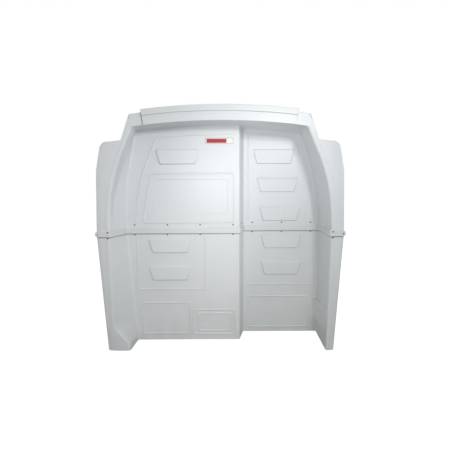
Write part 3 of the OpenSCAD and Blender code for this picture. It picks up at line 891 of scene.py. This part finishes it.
def seal(name, outline, node):
    piece = slab(outline, sheet_t + seal_t, sheet_t)
    soften(piece, 2 * mm, 3, 60)
    smooth(piece, 40)
    piece.name = piece.data.name = name
    finished(piece, foam_black, "seal_foam", node)


def mirror(outline):
    return [Vector((-p.x, p.y)) for p in outline]


roof_turns = spread(-math.radians(7.3), math.radians(7.3), 24)
roof_inner, roof_outer = arch_r + 50 * mm, arch_r + 50 * mm + seal_w
roof_strip = [Vector((r * math.sin(a), arch_z + r * math.cos(a)))
              for r, turns in ((roof_outer, roof_turns), (roof_inner, roof_turns[::-1])) for a in turns]
wing_bend = [p * mm for p in rounded((600, 1236), (640, 1230), (676, 1105), 24, 5)]
wing_strip = strip(metres([(600, 1236)]) + wing_bend + metres([(676, 1105), (692, 800)]), seal_w)
foot_strip = strip(metres([(690, 684), (676, 12)]), seal_w)
seal("roof_foam_seal", roof_strip, "roof_seal")
seal("upper_right_foam_seal", wing_strip, "upper_right_seal")
seal("upper_left_foam_seal", mirror(wing_strip), "upper_left_seal")
seal("lower_right_foam_seal", foot_strip, "lower_right_seal")
seal("lower_left_foam_seal", mirror(foot_strip), "lower_left_seal")

# ---- Screws ----
# Dark zinc-plated machine screws with low round heads and a cross recess, driven from the cab side
# through the shells into the splices; the header's five are driven from the load side.
head_r, shank_r = 5 * mm, 2.5 * mm


def turned_solid(rings, segments=24):
    """Solid of revolution along Z from (radius, height) rings, its ends closed."""
    bpy.ops.mesh.primitive_circle_add(vertices=segments, radius=rings[0][0], fill_type="NGON",
                                      location=(0, 0, rings[0][1]))
    piece = bpy.context.object
    bpy.ops.object.transform_apply(location=True, rotation=True, scale=True)
    edit(piece, "FACE")
    bpy.ops.mesh.select_all(action="SELECT")
    for (r1, h1), (r2, h2) in zip(rings, rings[1:]):
        bpy.ops.mesh.extrude_region_move(TRANSFORM_OT_translate={"value": (0, 0, h2 - h1)})
        bpy.ops.transform.resize(value=(r2 / r1, r2 / r1, 1), center_override=(0, 0, h2))
    done()
    turn_faces(piece, encloses_nothing)
    return piece


def screw_model(length):
    """Screw along Z: low round head, its seat at zero and its tip at the length."""
    rings = [(1.6 * mm, -3 * mm), (2.9 * mm, -2.75 * mm), (4.1 * mm, -2.1 * mm), (4.75 * mm, -1.3 * mm),
             (head_r, -0.5 * mm), (head_r, 0), (shank_r, 0.02 * mm), (shank_r, length - mm),
             (1.6 * mm, length)]
    piece = turned_solid(rings)
    arms = []
    for size in ((4.6 * mm, 1.1 * mm), (1.1 * mm, 4.6 * mm)):
        bpy.ops.mesh.primitive_cube_add(size=1)
        arm = bpy.context.object
        for vertex in arm.data.vertices:
            vertex.co = (vertex.co.x * size[0], vertex.co.y * size[1], -2.6 * mm + vertex.co.z * 1.8 * mm)
        arms.append(arm)
    for arm in arms:
        combine(piece, [arm], "DIFFERENCE")
    smooth(piece, 40)
    return piece


zinc = Look("dark zinc", Metallic=1.0)
patina = zinc.noise(240.0, 3.0)
zinc_tone = zinc.blend(patina.ramp(0.35, 0.7), (0.12, 0.125, 0.135, 1), (0.22, 0.22, 0.23, 1))
dark_zinc = zinc.set(Base_Color=zinc_tone, Roughness=0.34 + patina * 0.2,
                     Normal=zinc.bump(patina, 0.00008, 0.5))

to_back = Matrix.Rotation(math.radians(-90), 4, "X")
to_front = Matrix.Rotation(math.radians(90), 4, "X")
step_angle = math.atan2(step_back_x - step_front_x, right_recess - left_recess)
into_step = Matrix.Rotation(-step_angle, 4, "Z") @ Matrix.Rotation(math.radians(-90), 4, "Y")
left_screw_x, right_screw_x, wing_screw_x = (-553, -343, -132, 80), (213, 412, 609), 674
upper_row, lower_row, band_screw_z = joint_z + 40 * mm, joint_z - 23 * mm, joint_z + 12 * mm
wing_y = -5 * mm


def at(x, y, z, turn=to_back):
    return Matrix.Translation(place(x, y, z)) @ turn


def row_places(z, seat=0.0):
    spots = [at(x * mm, left_recess + seat, z) for x in left_screw_x]
    return spots + [at(x * mm, right_recess + seat, z) for x in right_screw_x]


def copies(name, model, spots, material, slot, node):
    """One copy of a model, with its own mesh, at each place, joined into one piece."""
    made = []
    for spot in spots:
        copy = model.copy()
        copy.data = model.data.copy()
        copy.data.transform(spot)
        bpy.context.collection.objects.link(copy)
        made.append(copy)
    finished(join(made, name), material, slot, node)


splice_t = 3 * mm
short_screw = screw_model(sheet_t + splice_t + 6 * mm)
long_screw = screw_model(band_t + sheet_t + splice_t + 6 * mm)
header_screw = screw_model(sheet_t + face_out - 3 * mm)
header_r = arch_r + 36 * mm
header_spots = [at(header_r * math.sin(a), sheet_t, arch_z + header_r * math.cos(a), to_front)
                for a in map(math.radians, (-6, -3, 0, 3, 6))]
wing_spots = [at(side * wing_screw_x * mm, wing_y, lower_row) for side in (-1, 1)]
band_spots = [at(side * wing_screw_x * mm, -band_t, band_screw_z) for side in (-1, 1)]
step_spot = Matrix.Translation(place((step_front_x + step_back_x) / 2, (left_recess + right_recess) / 2,
                                     upper_row)) @ into_step
copies("upper_screws", short_screw, row_places(upper_row), dark_zinc, "screw_steel", "upper_row_screws")
copies("lower_screws", short_screw, row_places(lower_row) + wing_spots, dark_zinc, "screw_steel",
       "lower_row_screws")
copies("step_machine_screw", short_screw, [step_spot], dark_zinc, "screw_steel", "step_screw")
copies("band_machine_screws", long_screw, band_spots, dark_zinc, "screw_steel", "band_screws")
copies("header_machine_screws", header_screw, header_spots, dark_zinc, "screw_steel", "header_screws")
for model in (short_screw, long_screw, header_screw):
    bpy.data.objects.remove(model)

# ---- Splices and nuts ----
# Flat bars and plates of galvanised steel behind the joint, with a hexagonal nut on each screw but
# the header's. The bars and the step plate are flat; the wing plates are bent to the wings' curve.
galvanised = Look("galvanised steel", Metallic=1.0)
spangle = galvanised.node("ShaderNodeTexVoronoi", {"feature": "F1"},
                          {"Vector": galvanised.place, "Scale": 90.0}, "Color")
speck = galvanised.node("ShaderNodeSeparateColor", {}, {"Color": spangle}, "Red")
stain = galvanised.noise(11.0, 4.0, rough=0.65)
steel_tone = galvanised.blend(speck, (0.50, 0.52, 0.54, 1), (0.66, 0.68, 0.70, 1))
galvanised_steel = galvanised.set(
    Base_Color=galvanised.blend(stain.ramp(0.55, 0.8) * 0.6, steel_tone, (0.42, 0.42, 0.41, 1)),
    Roughness=0.36 + speck * 0.14 + stain * 0.12,
    Normal=galvanised.bump(galvanised.noise(160.0, 2.0), 0.00006, 0.4),
)


def wing_plate(name, left, node):
    """Plate pressed to the curve of the wing, behind it at the joint, with its pillar hole."""
    rows = [wing_row(z, left)[2:-2] for z in (694, 722, 752, 784)]
    plate = patch([[point + Vector((0, sheet_t + 1.2 * mm, 0)) for point in row] for row in rows])
    turn_faces(plate, faces_back)
    finish_with(plate, "SOLIDIFY", thickness=splice_t, offset=-1)
    side = -1 if left else 1
    combine(plate, [cylinder(side * pillar_x, flange_y, joint_z, pillar_hole_r, 90 * mm, True)], "DIFFERENCE")
    smooth(plate, 30)
    plate.name = plate.data.name = name
    finished(plate, galvanised_steel, "splice_steel", node)


wing_plate("left_wing_splice_plate", True, "splice_plate_left_wing")
wing_plate("right_wing_splice_plate", False, "splice_plate_right_wing")
kept_steel = {"splice_bar_left": galvanised_steel, "splice_bar_right": galvanised_steel,
              "splice_plate_step": galvanised_steel, "upper_row_nuts": dark_zinc,
              "lower_row_nuts": dark_zinc, "band_nuts": dark_zinc, "step_nut": dark_zinc}
for node, material in kept_steel.items():
    steel_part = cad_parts[node]
    if not steel_part.data.materials:
        steel_part.data.materials.append(material)
    for slot in steel_part.material_slots:
        slot.material = material

# ---- Label plate ----
# Thin printed plate stuck high on the left panel: white, with a thin red outline and a plain red
# field over its left three quarters. It carries no lettering.
label_w, label_h, label_t = 181 * mm, 45 * mm, 1.5 * mm
label_x, label_z = -4.5 * mm, 1296.5 * mm
label_points = eased([(x / mm, z / mm) for x, z in (
    (label_x - label_w / 2, label_z - label_h / 2), (label_x + label_w / 2, label_z - label_h / 2),
    (label_x + label_w / 2, label_z + label_h / 2), (label_x - label_w / 2, label_z + label_h / 2))], 4)
label = slab(label_points, left_recess, left_recess - label_t, 1, 0.4 * mm)
smooth(label, 40)
label.name = label.data.name = "printed_label"

print_look = Look("printed label")
spot = print_look.across()
rise = print_look.height()


def inside(left, right, low, high):
    """1 inside a rectangle given by its distances from the plate's middle, in millimetres."""
    across = (spot > label_x + left * mm) * (spot < label_x + right * mm)
    return across * (rise > label_z + low * mm) * (rise < label_z + high * mm)


outline_band = inside(-87, 87, -19, 19) * (1 - inside(-85, 85, -17, 17))
field = inside(-81, 44, -13, 13)
ink = (outline_band + field).ramp(0.0, 1.0)
speckle = print_look.noise(500.0, 2.0)
red = print_look.blend(speckle, (0.33, 0.009, 0.017, 1), (0.43, 0.015, 0.024, 1))
finished(label, print_look.set(Base_Color=print_look.blend(ink, (0.80, 0.80, 0.79, 1), red),
                               Roughness=0.4 + speckle * 0.12 - ink * 0.1,
                               Normal=print_look.bump(speckle, 0.00003, 0.3)), "label", "label_plate")

# ---- Floor, light and camera ----
# Plain white studio: a wide floor, an even pale sky, a key light high in front, small weak lights
# that reach into the recesses from in front, from low down and from both sides, and one behind. The
# camera stands on the cab side, above the joint, tipped down at the partition.
bpy.ops.mesh.primitive_plane_add(size=60, location=(0, 0, 0))
floor = bpy.context.object
floor.name = "studio_floor"
studio = Look("studio white", Roughness=0.9)
seen = studio.node("ShaderNodeLightPath")
studio.set(Base_Color=studio.blend(studio.noise(0.6, 2.0), (0.33, 0.33, 0.33, 1), (0.35, 0.35, 0.35, 1)),
           Emission_Color=studio.blend(seen, (0, 0, 0, 1), (0.85, 0.85, 0.85, 1)))
studio.shader.inputs["Emission Strength"].default_value = 1
floor.data.materials.append(studio.material)

world = bpy.data.worlds.new("studio")
world.use_nodes = True
sky = world.node_tree
back = sky.nodes["Background"]
back.inputs["Color"].default_value = (0.95, 0.975, 1.0, 1)
backdrop = sky.nodes.new("ShaderNodeBackground")
backdrop.inputs["Color"].default_value = (1, 1, 1, 1)
back.inputs["Strength"].default_value = 0.52
either = sky.nodes.new("ShaderNodeMixShader")
sky.links.new(sky.nodes.new("ShaderNodeLightPath").outputs["Is Camera Ray"], either.inputs[0])
sky.links.new(back.outputs[0], either.inputs[1])
sky.links.new(backdrop.outputs[0], either.inputs[2])
sky.links.new(either.outputs[0], sky.nodes["World Output"].inputs["Surface"])
bpy.context.scene.world = world
bpy.context.scene.view_settings.view_transform = "Standard"


def lamp(name, location, aim, size, power, tint=(1, 1, 1), beam=180):
    """Square light of a size in metres and a power in watts, its beam as an angle in degrees."""
    light = bpy.data.lights.new(name, "AREA")
    light.shape, light.size, light.energy, light.color = "SQUARE", size, power, tint
    light.spread = math.radians(beam)
    holder = bpy.data.objects.new(name, light)
    bpy.context.collection.objects.link(holder)
    holder.location = location
    holder.visible_camera = False
    holder.rotation_euler = (Vector(aim) - Vector(location)).to_track_quat("-Z", "Y").to_euler()


lamp("key", (0.8, -2.3, 1.75), (-0.1, 0, 1.0), 0.35, 4.3, beam=75)
lamp("fill", (-0.33, -2.35, 1.08), (-0.15, 0, 1.0), 0.16, 1.5, beam=90)
lamp("recess_fill", (-0.2, -2.0, 0.75), (0.38, 0.3, 1.36), 0.2, 0.35, beam=32)
lamp("low_fill", (0.1, -2.4, 0.5), (0.1, 0.1, 0.2), 0.3, 0.5, beam=60)
lamp("floor_bounce", (0.15, -0.45, 0.12), (0.1, 0.15, 1.4), 0.6, 0.25, beam=60)
lamp("left_fill", (-3.0, -1.6, 1.3), (0.62, 0.1, 0.9), 1.2, 0.8, (1, 0.94, 0.86), beam=40)
lamp("right_fill", (3.0, -1.6, 1.3), (-0.62, 0.1, 1.1), 1.2, 1.0, beam=40)
lamp("back_fill", (1.5, 3.5, 2.8), (0, 0, 0.7), 2.0, 60)

camera_x, camera_distance, camera_height = 28 * mm, 2180 * mm, 1021 * mm
tipped_down, rolled = 6.23, -0.26       # degrees
view = bpy.data.cameras.new("camera")
view.sensor_width, view.lens = 36, 29.34
camera = bpy.data.objects.new("camera", view)
bpy.context.collection.objects.link(camera)
camera.location = (camera_x, flange_y - camera_distance, camera_height)
tilt = Matrix.Rotation(math.radians(90 - tipped_down), 3, "X") @ Matrix.Rotation(math.radians(rolled), 3, "Z")
camera.rotation_euler = tilt.to_euler()
bpy.context.scene.camera = camera
